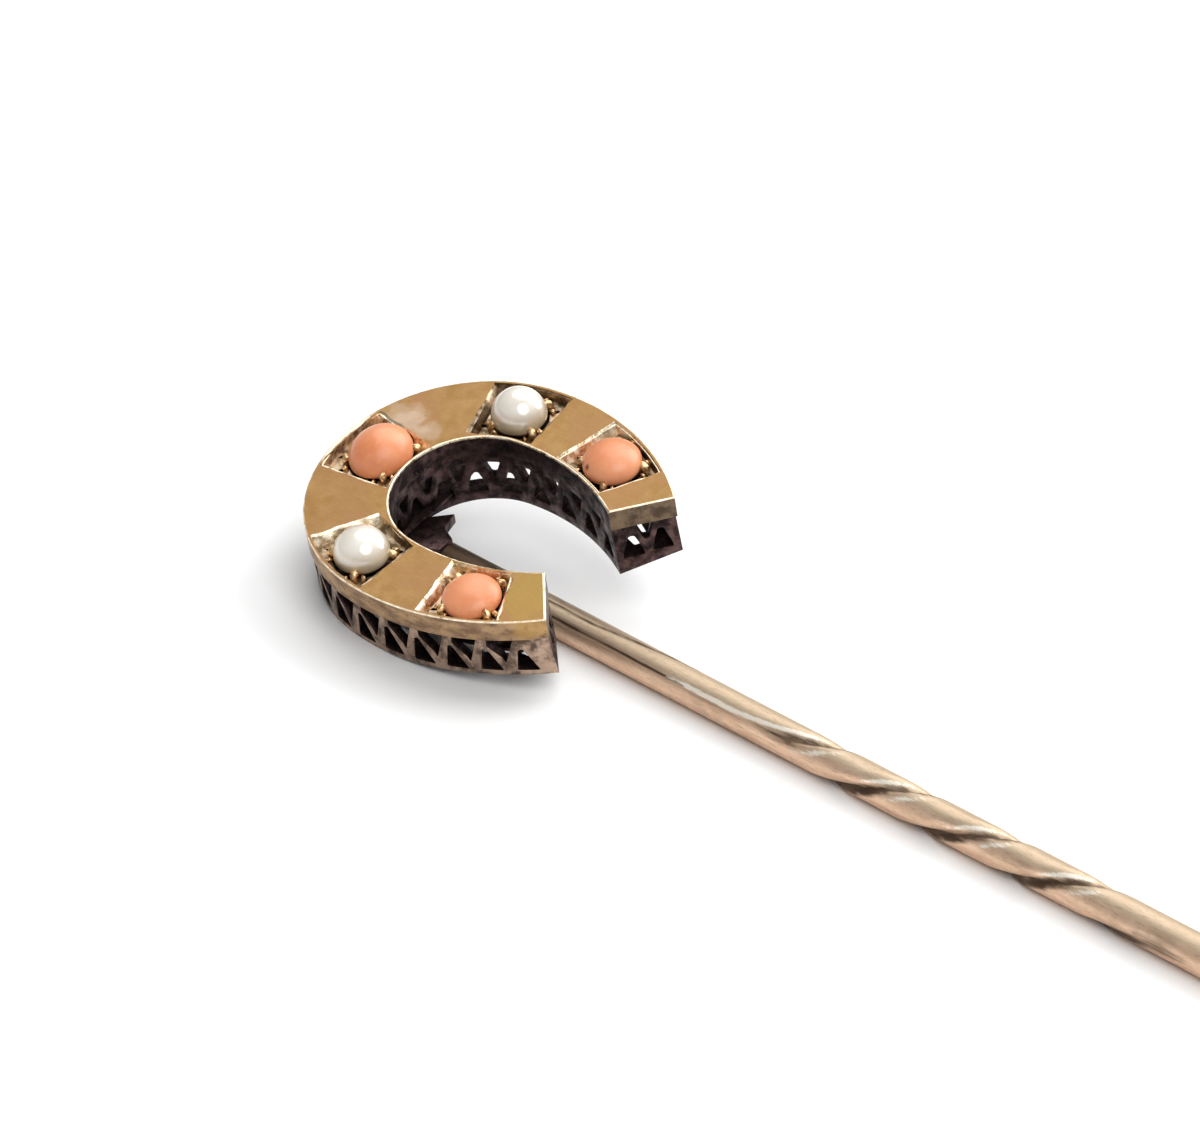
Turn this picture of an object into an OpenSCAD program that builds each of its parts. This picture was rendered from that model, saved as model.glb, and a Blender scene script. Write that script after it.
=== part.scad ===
// Horseshoe stick pin: a stone-set front plate on a pierced gallery, soldered to a twisted wire stem.
// The row's X axis is the stem's axis, with the point towards +X, and the origin is where the plain
// shank starts. The pin lies as it rests on a table: the stem's underside and the near arm's gallery
// touch the surface, which is at z = -stem_d / 2.
// The head is drawn in a frame of its own: x towards the heels, z = 0 at the outer gallery's foot.

/* [Front plate] */
// Height of the head's outer side, from the gallery's foot to the front
head_h = 2.25; // [1.8:0.05:3]
// Thickness of the front plate
plate_t = 0.73; // [0.65:0.01:0.9]
// Distance from the head's centre to the outer edge at the toe
toe_out = 5.6; // [5.4:0.05:5.8]
// Radius of the outer edge round the toe
toe_out_r = 4.95; // [4.8:0.05:5.1]
// Angle that the outer toe arc takes on each side of the toe
toe_out_sweep = 81.5; // [78:0.5:85]
// Radius of the outer edge along the arms
arm_out_r = 7.65; // [7:0.05:8.5]
// Distance from the head's centre to the inner edge at the toe
toe_in = 2.98; // [2.8:0.02:3.1]
// Radius of the inner edge round the toe
toe_in_r = 2.48; // [2.4:0.02:2.6]
// Angle that the inner toe arc takes on each side of the toe
toe_in_sweep = 84; // [80:0.5:88]
// Radius of the inner edge along the arms
arm_in_r = 6.85; // [6:0.05:7.5]
// Inner corner of a heel, along and across the head
heel_in = [3.56, 1.47];
// Outer corner of a heel, along and across the head
heel_out = [4.88, 3.01];

/* [Stone settings] */
// Depth of the cut recess round each stone
recess_t = 0.3; // [0.2:0.01:0.35]
// Width of the rim left along the edges beside a recess
rim_w = 0.13; // [0.1:0.01:0.2]
// Depth of a stone's seat under the front
seat_t = 0.58; // [0.5:0.01:0.62]
// Gap between a stone and the metal round it
stone_gap = 0.04; // [0.03:0.01:0.06]
// Radius of the raised grains that hold a stone
grain_r = 0.15; // [0.12:0.01:0.18]
// Coral at the toe: radius, height of its dome, depth of its girdle under the front
toe_coral = [1.0, 0.86, 0.18];
// Coral near a heel: radius, height of its dome, depth of its girdle under the front
heel_coral = [0.9, 0.56, 0.15];
// Pearl: radius, height of its dome, depth of its girdle under the front
pearl = [0.865, 0.83, 0.11];

/* [Gallery] */
// Thickness of the gallery's sheet
wall = 0.3; // [0.25:0.01:0.4]
// How far the gallery stands in from the plate's edge
gallery_inset = 0.05; // [0.02:0.01:0.1]
// How much lower the inner wall's foot is than the outer wall's
inner_drop = 0.32; // [0.1:0.02:0.4]
// How much higher the outer wall's foot is at a heel than at the toe
heel_rise = 0.18; // [0.1:0.02:0.3]
// Width and thickness of the flat strips folded in along the feet of the outer and inner wall
foot_strip = [0.8, 0.14];
// Height of the holes over the foot, in the outer wall
outer_rail_h = 0.17; // [0.16:0.01:0.3]
// Height of the holes over the foot, in the inner wall and at the heels
rail_h = 0.32; // [0.25:0.01:0.4]
// Upright holes in the outer wall
outer_holes = 25; // [20:1:26]
// Upright holes in the inner wall
inner_holes = 15; // [10:1:18]
// Width at the foot and height of an upright hole, in the inner wall and at the heels
upright_hole = [0.62, 0.72];
// Width at the top and height of a hanging hole, in the inner wall and at the heels
hanging_hole = [0.5, 0.62];
// Length of plain wall beside each heel corner
corner_post = 0.16; // [0.1:0.01:0.5]

/* [Stem] */
// Diameter of the stem
stem_d = 1.11; // [1:0.01:1.2]
// Length of the smooth stretch and the twist, from the toe joint to the plain shank
head_stretch = 27.4; // [26:0.1:30]
// Length of the plain round shank beyond the twist
shank_l = 22; // [15:0.5:30]
// Length of the tapered point
point_l = 7.6; // [5:0.1:10]
// Where the twist starts, from the toe joint
twist_start = 13.9; // [12:0.1:15]
// Length of the twisted stretch
twist_l = 13.2; // [10:0.1:14]
// Length of one full turn of the twist
twist_pitch = 6.22; // [5:0.02:8]
// Groove centre's angle at the start of the twist
twist_phase = 260.4; // [0:0.1:360]
// Depth of the grooves as a share of the stem's radius
groove = 0.24; // [0.1:0.01:0.3]

/* [How the head sits on the stem] */
// Place of the toe joint on the head, along and across
joint_xy = [-4.2, -0.45];
// Upward tilt of the heels off the stem
head_pitch = 2; // [0:0.1:4]
// Turn of the head across the stem
head_yaw = 0.83; // [0:0.1:2]

/* [Hidden] */
$fn = 48;

gold = "#c79c5e";
rose_gold = "#c08a6c";
dark_gold = "#6b5550";
coral_pink = "#e9956f";
pearl_white = "#efe9df";

// How far soldered pieces reach into each other
overlap = 0.01;
stem_r = stem_d / 2;
gallery_h = head_h - plate_t;
recess_z = head_h - recess_t;
seat_z = head_h - seat_t;

// One row for each setting: name, x, y, turn from the toe, where its recess ends along the band at the
// outer edge and at the inner edge, its stone
SETTINGS = [
    ["coral_toe",  -4.13,  0.00,    0.0, [1.45, -1.31], [1.19, -0.97], toe_coral],
    ["pearl_far",  -1.60,  3.55,   73.3, [1.21, -1.42], [1.16, -0.91], pearl],
    ["pearl_near", -1.73, -3.62,  -73.3, [1.36, -1.62], [0.90, -1.00], pearl],
    ["coral_far",   2.22,  3.32,  110.4, [1.42, -1.39], [1.11, -0.93], heel_coral],
    ["coral_near",  2.25, -3.30, -110.4, [1.18, -1.39], [0.92, -0.95], heel_coral],
];
// How far a recess reaches from its stone's centre across the band, past both rims
recess_reach = 1.25;

// Plan of the head. An edge is two arcs that meet in a common tangent: one round the toe and one
// along the arm, each on the head's +y side. An inset moves both walls into the metal.

function polar(r, a) = [r * cos(a), r * sin(a)];
function flipped(points) = [for (p = points) [p[0], -p[1]]];
function backwards(list) = [for (i = [len(list) - 1 : -1 : 0]) list[i]];

heel_dir = (heel_out - heel_in) / norm(heel_out - heel_in);
heel_normal = [heel_dir[1], -heel_dir[0]];
heel_normal_a = atan2(heel_normal[1], heel_normal[0]);

toe_out_c = [toe_out_r - toe_out, 0];
arm_out_c = toe_out_c + polar(toe_out_r - arm_out_r, 180 - toe_out_sweep);
toe_in_c = [toe_in_r - toe_in, 0];
arm_in_c = toe_in_c + polar(toe_in_r - arm_in_r, 180 - toe_in_sweep);

// Angle round an arm's centre at which its arc of radius r meets the heel, moved in by inset
function heel_angle(c, r, inset) = heel_normal_a + acos(((heel_in - c) * heel_normal - inset) / r);

// Points of one edge from the toe to the heel
function edge(c1, r1, sweep, c2, r2, inset, n1, n2) =
    let (a1 = 180 - sweep, a2 = heel_angle(c2, r2, inset))
    concat([for (i = [0 : n1]) c1 + polar(r1, 180 - sweep * i / n1)],
           [for (i = [1 : n2]) c2 + polar(r2, a1 + (a2 - a1) * i / n2)]);

function outer_edge(inset) =
    edge(toe_out_c, toe_out_r - inset, toe_out_sweep, arm_out_c, arm_out_r - inset, inset, 18, 8);
function inner_edge(inset, heel_inset = undef) =
    edge(toe_in_c, toe_in_r + inset, toe_in_sweep, arm_in_c, arm_in_r + inset,
         heel_inset == undef ? inset : heel_inset, 14, 6);

module head_plan(inset) {
    o = outer_edge(inset);
    i = inner_edge(inset);
    o_rest = [for (k = [1 : len(o) - 1]) o[k]];
    i_rest = [for (k = [1 : len(i) - 1]) i[k]];
    polygon(concat(backwards(flipped(o_rest)), o, backwards(i_rest), [i[0]], flipped(i_rest)));
}

// Places along a gallery wall: [x, y, direction of the wall's outside]
function along(c1, r1, sweep, c2, r2, s) =
    let (l1 = r1 * sweep * PI / 180,
         a = s < l1 ? 180 - s / r1 * 180 / PI : 180 - sweep - (s - l1) / r2 * 180 / PI,
         p = s < l1 ? c1 + polar(r1, a) : c2 + polar(r2, a))
    [p[0], p[1], a];

function edge_length(r1, sweep, c2, r2, inset) =
    r1 * sweep * PI / 180 + r2 * (180 - sweep - heel_angle(c2, r2, inset)) * PI / 180;

// Settings

module at_setting(s) {
    translate([s[1], s[2], 0]) rotate([0, 0, 180 - s[3]]) children();
}

module recess_plan(s) {
    intersection() {
        head_plan(rim_w);
        at_setting(s)
            polygon([[recess_reach, s[4][0]], [-recess_reach, s[5][0]],
                     [-recess_reach, s[5][1]], [recess_reach, s[4][1]]]);
    }
}

// Height of a grain's centre over the front: it stands out of the recess floor by 1.6 radii
grain_z = grain_r * 0.6 - recess_t;

module grains(s) {
    at_setting(s)
        for (a = [45 : 90 : 315])
            rotate([0, 0, a])
                translate([s[6][0] + stone_gap + grain_r, 0, head_h + grain_z])
                    sphere(r = grain_r, $fn = 24);
}

module front_plate() {
    difference() {
        translate([0, 0, gallery_h]) linear_extrude(plate_t) head_plan(0);
        for (s = SETTINGS) {
            translate([0, 0, recess_z]) linear_extrude(recess_t + 1) recess_plan(s);
            at_setting(s)
                translate([0, 0, seat_z])
                    cylinder(r = s[6][0] + stone_gap, h = seat_t);
        }
    }
    for (s = SETTINGS) grains(s);
}

// Gallery

hole_cut = wall * 3;

// The outer wall's foot rises in a straight line from here to the heels
rise_x = 0.6;
function rise(x) = heel_rise * max(0, (x - rise_x) / (heel_out[0] - rise_x));

module cut_through(outline) {
    rotate([90, 0, 90]) translate([0, 0, -hole_cut / 2]) linear_extrude(hole_cut) polygon(outline);
}

// Corners of a hole, along the wall and up. Upright and hanging holes stand in turn.
function upright(foot) =
    [[-upright_hole[0] / 2, foot], [upright_hole[0] / 2, foot], [0, foot + upright_hole[1]]];
hanging = [[-hanging_hole[0] / 2, gallery_h], [hanging_hole[0] / 2, gallery_h],
           [0, gallery_h - hanging_hole[1]]];

// In the outer wall an upright hole leans towards the toe and is parted by a thin leaning bar from the
// hanging hole on its heel side
bar = 0.12;
post = 0.24;
half_foot = 0.35;
tip = [-0.17, 1.12];
function leaning(foot) = [[-half_foot, foot], [half_foot, foot], tip];
function leaning_hanging(foot, pitch, first) =
    let (left = tip[0] + bar + (first ? 0.3 : 0), slant = (half_foot - tip[0]) / (tip[1] - foot))
    [[half_foot + bar * 1.2 - slant * (tip[1] + 0.1 - foot) + (first ? 0.3 : 0), tip[1] + 0.1],
     [left, gallery_h], [pitch - half_foot - post * 0.6 + 0.2, gallery_h],
     [pitch - half_foot - post, foot + 0.28]];

// Holes along one wall, both arms, the row centred on the toe
module wall_cuts(c1, r1, sweep, c2, r2, count, outer) {
    step = (edge_length(r1, sweep, c2, r2, gallery_inset) - corner_post) / count;
    for (side = [1, -1], k = [0 : count - 1]) {
        at = along(c1, r1, sweep, c2, r2, k * step);
        foot = outer ? outer_rail_h + rise(at[0]) : rail_h;
        if (k > 0 || side > 0)
            translate([at[0], side * at[1], 0]) rotate([0, 0, side * at[2]]) mirror([0, side > 0 ? 1 : 0, 0]) {
                if (k % 2 == 0) cut_through(outer && k > 0 ? leaning(foot) : upright(foot));
                if (k % 2 == 1 && !outer) cut_through(hanging);
            }
        if (outer && k % 2 == 0 && k < count - 1)
            translate([at[0], side * at[1], 0]) rotate([0, 0, side * at[2]]) mirror([0, side > 0 ? 1 : 0, 0])
                cut_through(leaning_hanging(foot, 2 * step, k == 0));
    }
}

// How much nearer than a quarter of the heel its two upright holes are to its middle
heel_hole_pull = 0.06;

module heel_cuts() {
    mid = (heel_in + heel_out) / 2 - heel_normal * (gallery_inset + wall / 2);
    step = norm(heel_out - heel_in) / 4 - heel_hole_pull;
    for (side = [1, -1])
        for (k = [-1, 0, 1]) {
            p = mid + heel_dir * step * k;
            translate([p[0], side * p[1], 0]) rotate([0, 0, side * heel_normal_a])
                cut_through(k == 0 ? hanging : upright(rail_h));
        }
}

// Everything lower than the outer wall's foot, moved up
module under_foot(up) {
    translate([rise_x, 0, up]) {
        translate([-9, -6, -2]) cube([9, 12, 2]);
        rotate([0, -atan(heel_rise / (heel_out[0] - rise_x)), 0]) translate([-1, -6, -2]) cube([9, 12, 2]);
    }
}

module ring_plan(width) {
    difference() {
        head_plan(gallery_inset);
        head_plan(gallery_inset + width);
    }
}

// The horseshoe's opening, widened into the metal and run on past the heels
module opening_plan(inset) {
    i = inner_edge(inset, -0.6);
    polygon(concat(backwards(flipped([for (k = [1 : len(i) - 1]) i[k]])), i));
}

// A slice at both heels, drawn by its outline along the heel and up
module heel_slice(outline) {
    for (side = [0, 1]) mirror([0, side, 0])
        translate([heel_in[0], heel_in[1], 0]) rotate([0, 0, heel_normal_a + 90])
            translate([0, 1.2, 0]) rotate([90, 0, 0]) linear_extrude(2.2) polygon(outline);
}

heel_w = norm(heel_out - heel_in);

// The deeper inner wall, and the heels' walls with their feet slanting up to the outer wall
module deep_walls() {
    intersection() {
        translate([0, 0, -inner_drop]) linear_extrude(inner_drop + heel_rise + overlap) ring_plan(wall);
        union() {
            translate([0, 0, -inner_drop - 1]) linear_extrude(3) opening_plan(gallery_inset + wall);
            heel_slice([[-1, -inner_drop - 1], [0, -inner_drop], [heel_w, heel_rise], [heel_w, 1], [-1, 1]]);
        }
    }
}

// Flat strips along the feet of the outer and the inner wall. They start inside the walls.
module foot_strips() {
    w = foot_strip[0];
    t = foot_strip[1];
    lift = 0.02;
    intersection() {
        difference() {
            linear_extrude(1) difference() {
                head_plan(gallery_inset + wall / 2);
                opening_plan(gallery_inset + w + 0.1);
                head_plan(gallery_inset + w);
            }
            under_foot(lift);
        }
        under_foot(t);
    }
    translate([0, 0, lift - inner_drop]) linear_extrude(t - lift) difference() {
        intersection() {
            head_plan(gallery_inset + wall / 2);
            opening_plan(gallery_inset + w);
        }
        head_plan(gallery_inset + w);
    }
}

module gallery() {
    mid_out = gallery_inset + wall / 2;
    difference() {
        union() {
            difference() {
                linear_extrude(gallery_h + overlap) ring_plan(wall);
                under_foot(0);
            }
            deep_walls();
        }
        wall_cuts(toe_out_c, toe_out_r - mid_out, toe_out_sweep, arm_out_c, arm_out_r - mid_out,
                  outer_holes, true);
        translate([0, 0, -inner_drop])
            wall_cuts(toe_in_c, toe_in_r + mid_out, toe_in_sweep, arm_in_c, arm_in_r + mid_out,
                      inner_holes, false);
        heel_cuts();
    }
    foot_strips();
}

// How the head lies: the stem is level, and the head is rolled until its near arm meets the table.

function pitched(p) = [p[0] * cos(head_pitch) - p[2] * sin(head_pitch), p[1],
                       p[0] * sin(head_pitch) + p[2] * cos(head_pitch)];
function yawed(p) = [p[0] * cos(head_yaw) - p[1] * sin(head_yaw),
                     p[0] * sin(head_yaw) + p[1] * cos(head_yaw), p[2]];
near_arm = [for (p = flipped(outer_edge(gallery_inset)))
    pitched(yawed([p[0] - joint_xy[0], p[1] - joint_xy[1], stem_r]))];
function lowest(roll) = min([for (p = near_arm) p[1] * sin(roll) + p[2] * cos(roll)]);
function settled(a, b, steps) =
    let (mid = (a + b) / 2)
    steps == 0 ? mid : lowest(mid) > -stem_r ? settled(mid, b, steps - 1) : settled(a, mid, steps - 1);
head_roll = settled(0, 30, 24);

module head_on_stem() {
    translate([-head_stretch, 0, 0])
        rotate([head_roll, 0, 0]) rotate([0, -head_pitch, 0]) rotate([0, 0, head_yaw])
            translate([-joint_xy[0], -joint_xy[1], stem_r])
                children();
}

// Solder plate under the toe: a tongue that spreads into two points beside the stem

tongue_t = 0.36;
// One side of its plan, from under the outer wall to the end inside the horseshoe
TONGUE = [[-5.4, 0.62], [-3.1, 0.62], [-2.75, 0.7], [-2.2, 1.18], [-2.08, 0.55], [-1.55, 0.3]];

module solder_plate() {
    translate([0, joint_xy[1], -tongue_t]) linear_extrude(tongue_t + overlap)
        polygon(concat(TONGUE, backwards(flipped(TONGUE))));
}

// Stem

// One half turn of the twist's section: angle from the groove's centre, and share of groove depth
SECTION = [[-27, 0], [-14, 0.72], [0, 1], [14, 0.72], [27, 0],
           [48, 0], [69, 0], [90, 0], [111, 0], [132, 0]];
section_n = len(SECTION) * 2;
// The twisted stretch is a hair thinner than the wire, and reaches into it at both ends
twist_r = stem_r * 0.97;
lap_r = stem_r * 0.8;
lap = 0.3;
// Distance between the stretch's rings, and the length over which the grooves fade at its ends
ring_step = 0.24;
fade_l = 1.7;
steps = ceil(twist_l / ring_step);
rings = steps + 2;

function fade(x) = let (t = min(1, max(0, min(x, twist_l - x) / fade_l))) t * t * (3 - 2 * t);
function ring(x) =
    let (turn = twist_phase - 360 * x / twist_pitch, core = x < 0 || x > twist_l ? lap_r : twist_r)
    [for (h = [0, 1], s = SECTION)
        concat([x], polar(core * (1 - groove * s[1] * fade(x)), turn + 180 * h + s[0]))];

module twisted_stretch() {
    xs = concat([-lap], [for (i = [0 : steps]) min(twist_l, i * twist_l / steps)], [twist_l + lap]);
    points = [for (x = xs) each ring(x)];
    sides = [for (i = [0 : rings - 1], j = [0 : section_n - 1])
        let (a = i * section_n + j, b = i * section_n + (j + 1) % section_n)
        each [[a, a + section_n, b], [b, a + section_n, b + section_n]]];
    start = [for (j = [0 : section_n - 1]) j];
    end = [for (j = [section_n - 1 : -1 : 0]) rings * section_n + j];
    translate([twist_start - head_stretch, 0, 0]) polyhedron(points, concat(sides, [start], [end]));
}

module wire(x, length) {
    translate([x, 0, 0]) rotate([0, 90, 0]) cylinder(r = stem_r, h = length);
}

// Where the wire starts, from the toe joint, and the radius at its point
wire_start = 0.9;
point_r = 0.06;

module stem() {
    wire(wire_start - head_stretch, twist_start - wire_start);
    twisted_stretch();
    wire(twist_start + twist_l - head_stretch, head_stretch - twist_start - twist_l + shank_l);
    translate([shank_l, 0, 0]) rotate([0, 90, 0]) cylinder(r1 = stem_r, r2 = point_r, h = point_l);
}

module horseshoe_and_stem() {
    head_on_stem() {
        color(gold) front_plate();
        color(dark_gold) gallery();
        color(dark_gold) solder_plate();
    }
    color(rose_gold) stem();
}

// Stones

base_z = seat_z + stone_gap;

// A stone has a straight side up to its girdle and a dome over it
module cabochon(size) {
    r = size[0];
    arc = [for (i = [0 : 12]) [r * cos(7.5 * i), head_h - size[2] + size[1] * sin(7.5 * i)]];
    rotate_extrude() polygon(concat([[0, base_z], [r, base_z]], arc));
}

module stone(name) {
    for (s = SETTINGS)
        if (s[0] == name)
            color(s[6] == pearl ? pearl_white : coral_pink)
                head_on_stem() at_setting(s) cabochon(s[6]);
}

horseshoe_and_stem();
stone("coral_toe");  // coral_toe
stone("pearl_near");  // pearl_near
stone("pearl_far");  // pearl_far
stone("coral_near");  // coral_near
stone("coral_far");  // coral_far
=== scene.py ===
# Horseshoe stick pin, lying face up on a pale table: brushed gold front set with three corals and
# two pearls, a dark pierced gallery behind it, and a rose gold stem with a twisted stretch.
#
# Everything is drawn in millimetres, in two frames: the head's own (x towards the heels, z = 0 at the
# gallery's open back) and the stem's (x along the wire from the toe joint). HEAD and STEM place them.

import math

import bmesh
import bpy
from mathutils import Matrix, Vector, noise


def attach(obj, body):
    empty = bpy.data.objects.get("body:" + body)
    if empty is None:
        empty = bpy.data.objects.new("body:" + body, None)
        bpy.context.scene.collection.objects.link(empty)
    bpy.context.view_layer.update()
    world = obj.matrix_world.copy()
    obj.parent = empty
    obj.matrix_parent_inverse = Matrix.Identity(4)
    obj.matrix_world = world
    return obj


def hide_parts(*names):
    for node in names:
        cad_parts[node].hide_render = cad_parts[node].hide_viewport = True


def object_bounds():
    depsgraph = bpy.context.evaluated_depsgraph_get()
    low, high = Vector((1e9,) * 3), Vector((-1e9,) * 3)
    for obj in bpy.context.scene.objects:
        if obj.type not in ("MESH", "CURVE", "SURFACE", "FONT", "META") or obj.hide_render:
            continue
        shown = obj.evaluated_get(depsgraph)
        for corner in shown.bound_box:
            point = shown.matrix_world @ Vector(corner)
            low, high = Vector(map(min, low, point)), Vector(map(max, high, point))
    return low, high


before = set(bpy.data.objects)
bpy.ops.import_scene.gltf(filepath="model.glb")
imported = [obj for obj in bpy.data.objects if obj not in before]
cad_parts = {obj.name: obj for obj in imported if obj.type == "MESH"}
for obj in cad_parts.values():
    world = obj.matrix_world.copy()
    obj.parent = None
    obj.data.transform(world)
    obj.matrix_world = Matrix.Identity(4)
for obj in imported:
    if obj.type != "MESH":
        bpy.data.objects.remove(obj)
cad_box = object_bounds()
scene = bpy.context.scene

# Until a seed is set, noise_vector gives other values in every run. This one leaves no open edge where
# the gallery's holes are cut. Some others do, such as 1 and 3.
NOISE_SEED = 4
noise.seed_set(NOISE_SEED)

MM = 0.001

# Sizes of the source, in mm and degrees
HEAD_H = 2.25
PLATE_T = 0.73
GALLERY_H = HEAD_H - PLATE_T
TOE_OUT, TOE_OUT_R, TOE_OUT_SWEEP, ARM_OUT_R = 5.6, 4.95, 81.5, 7.65
TOE_IN, TOE_IN_R, TOE_IN_SWEEP, ARM_IN_R = 2.98, 2.48, 84.0, 6.85
HEEL_IN = Vector((3.56, 1.47, 0))
HEEL_OUT = Vector((4.88, 3.01, 0))
RECESS_T = 0.3
RIM_W = 0.13
SEAT_T = 0.58
STONE_GAP = 0.04
GRAIN_R = 0.15
WALL = 0.3
GALLERY_INSET = 0.05
RAIL_H = 0.32
INNER_DROP, HEEL_RISE, RISE_X = 0.32, 0.18, 0.6
STRIP_W, STRIP_T = 0.8, 0.14
OUTER_RAIL_H = 0.17
OUTER_HOLES, INNER_HOLES = 25, 15
UPRIGHT_HOLE = (0.62, 0.72)
HANGING_HOLE = (0.5, 0.62)
CORNER_POST = 0.16
STEM_R = 0.555
HEAD_STRETCH = 27.4
SHANK_L = 22.0
POINT_L = 7.6
POINT_R = 0.06
JOINT = Vector((-4.2, -0.45, 0))
HEAD_PITCH, HEAD_YAW, HEAD_ROLL = 2.0, 0.83, 15.8
TONGUE_T = 0.36
# One side of the tongue's plan, and of the plan of the pad that it is on, which only this script has
TONGUE = [(-5.4, 0.62), (-3.1, 0.62), (-2.75, 0.7), (-2.2, 1.18), (-2.08, 0.55), (-1.55, 0.3)]
PAD = [(-5.25, 1.2), (-4.75, 2.35), (-3.9, 3.1), (-2.9, 2.9), (-2.75, 1.5)]
PAD_LOW, PAD_HIGH = 0.005, 0.12

# Settings: name, x, y, turn from the toe; the recess's sides along the band, each at the outer and inner
# edge; the stone's radius towards the edges, radius along the band, dome height and girdle depth
SETTINGS = [
    ("coral_toe", -4.13, 0.03, 0.0, (1.45, 1.19), (-1.31, -0.91), (0.95, 1.07, 0.86, 0.18)),
    ("pearl_far", -1.60, 3.55, 73.3, (1.21, 1.16), (-1.42, -0.91), (0.87, 0.87, 0.88, 0.12)),
    ("pearl_near", -1.73, -3.62, -73.3, (1.36, 0.86), (-1.62, -1.0), (0.86, 0.86, 0.79, 0.10)),
    ("coral_far", 2.22, 3.32, 110.4, (1.42, 1.11), (-1.39, -0.93), (0.91, 0.91, 0.62, 0.11)),
    ("coral_near", 2.26, -3.30, -110.4, (1.18, 0.92), (-1.39, -0.95), (0.89, 0.89, 0.50, 0.19)),
]
RECESS_REACH = 1.25

STEM = Matrix.Scale(MM, 4) @ Matrix.Translation((-HEAD_STRETCH, 0, 0))
HEAD = (
    STEM
    @ Matrix.Rotation(math.radians(HEAD_ROLL), 4, "X")
    @ Matrix.Rotation(math.radians(-HEAD_PITCH), 4, "Y")
    @ Matrix.Rotation(math.radians(HEAD_YAW), 4, "Z")
    @ Matrix.Translation((-JOINT.x, -JOINT.y, STEM_R))
)


def clamp(value):
    return min(max(value, 0), 1)


def soft_step(t):
    """Ease from 0 to 1 with a level start and end."""
    return t * t * (3 - 2 * t)


# Plan of the head

# Steps of the outer and inner edge's toe arc, an arm's being half as many
OUTER_STEPS, INNER_STEPS = 48, 40


def polar(radius, angle):
    a = math.radians(angle)
    return Vector((radius * math.cos(a), radius * math.sin(a), 0))


HEEL_DIR = (HEEL_OUT - HEEL_IN).normalized()
HEEL_NORMAL = Vector((HEEL_DIR.y, -HEEL_DIR.x, 0))
HEEL_NORMAL_A = math.degrees(math.atan2(HEEL_NORMAL.y, HEEL_NORMAL.x))
TOE_OUT_C = Vector((TOE_OUT_R - TOE_OUT, 0, 0))
ARM_OUT_C = TOE_OUT_C + polar(TOE_OUT_R - ARM_OUT_R, 180 - TOE_OUT_SWEEP)
TOE_IN_C = Vector((TOE_IN_R - TOE_IN, 0, 0))
ARM_IN_C = TOE_IN_C + polar(TOE_IN_R - ARM_IN_R, 180 - TOE_IN_SWEEP)


def heel_angle(centre, radius, inset):
    """Angle round an arm's centre at which its arc meets the heel."""
    reach = ((HEEL_IN - centre).dot(HEEL_NORMAL) - inset) / radius
    return HEEL_NORMAL_A + math.degrees(math.acos(reach))


def draw_edge(bm, toe, toe_c, sweep, arm_c, arm_r, inset, steps):
    """One edge of a half horseshoe, toe to heel, drawn by spinning a vertex round the two centres.
    Returns its end at the heel."""
    last = bm.verts.new(toe)
    arm_sweep = heel_angle(arm_c, arm_r, inset) - (180 - sweep)
    for centre, angle, count in ((toe_c, -sweep, steps), (arm_c, arm_sweep, steps // 2)):
        spun = bmesh.ops.spin(
            bm, geom=[last], cent=centre, axis=(0, 0, 1), angle=math.radians(angle), steps=count
        )
        last = [v for v in spun["geom_last"] if isinstance(v, bmesh.types.BMVert)][0]
    return last


def head_outline(bm, inset, z):
    """Closed outline of the head at height z, moved into the metal by inset. Returns its edges."""
    before = set(bm.edges)
    toe_a, toe_b = (inset - TOE_OUT, 0, z), (-TOE_IN - inset, 0, z)
    radius_a, radius_b = ARM_OUT_R - inset, ARM_IN_R + inset
    heel_a = draw_edge(bm, toe_a, TOE_OUT_C, TOE_OUT_SWEEP, ARM_OUT_C, radius_a, inset, OUTER_STEPS)
    heel_b = draw_edge(bm, toe_b, TOE_IN_C, TOE_IN_SWEEP, ARM_IN_C, radius_b, inset, INNER_STEPS)
    bm.edges.new((heel_a, heel_b))
    half = [e for e in bm.edges if e not in before]
    # A dict keeps the order of its keys, which a set doesn't.
    ends = dict.fromkeys(v for e in half for v in e.verts)
    bmesh.ops.mirror(bm, geom=list(ends) + half, matrix=Matrix(), merge_dist=1e-4, axis="Y")
    return [e for e in bm.edges if e not in before]


def head_solid(inset_low, z_low, inset_high, z_high):
    """A solid between two outlines of the head."""
    bm = bmesh.new()
    low = head_outline(bm, inset_low, z_low)
    high = head_outline(bm, inset_high, z_high)
    bmesh.ops.bridge_loops(bm, edges=low + high)
    for loop in (low, high):
        bmesh.ops.contextual_create(bm, geom=loop)
    bmesh.ops.recalc_face_normals(bm, faces=bm.faces)
    return bm


def plate_of(bm, points, z_low, z_high):
    """Thicken a flat outline of a few points from z_low to z_high. Returns the new vertices."""
    verts = [bm.verts.new((x, y, z_low)) for x, y in points]
    face = bm.faces.new(verts)
    top = bmesh.ops.extrude_face_region(bm, geom=[face])["geom"]
    top = [v for v in top if isinstance(v, bmesh.types.BMVert)]
    bmesh.ops.translate(bm, vec=(0, 0, z_high - z_low), verts=top)
    return verts, top


# Making objects


def object_of(bm, name, materials=()):
    bmesh.ops.recalc_face_normals(bm, faces=bm.faces)
    mesh = bpy.data.meshes.new(name)
    bm.to_mesh(mesh)
    bm.free()
    for material in materials:
        mesh.materials.append(material)
    made = bpy.data.objects.new(name, mesh)
    scene.collection.objects.link(made)
    return made


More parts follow.
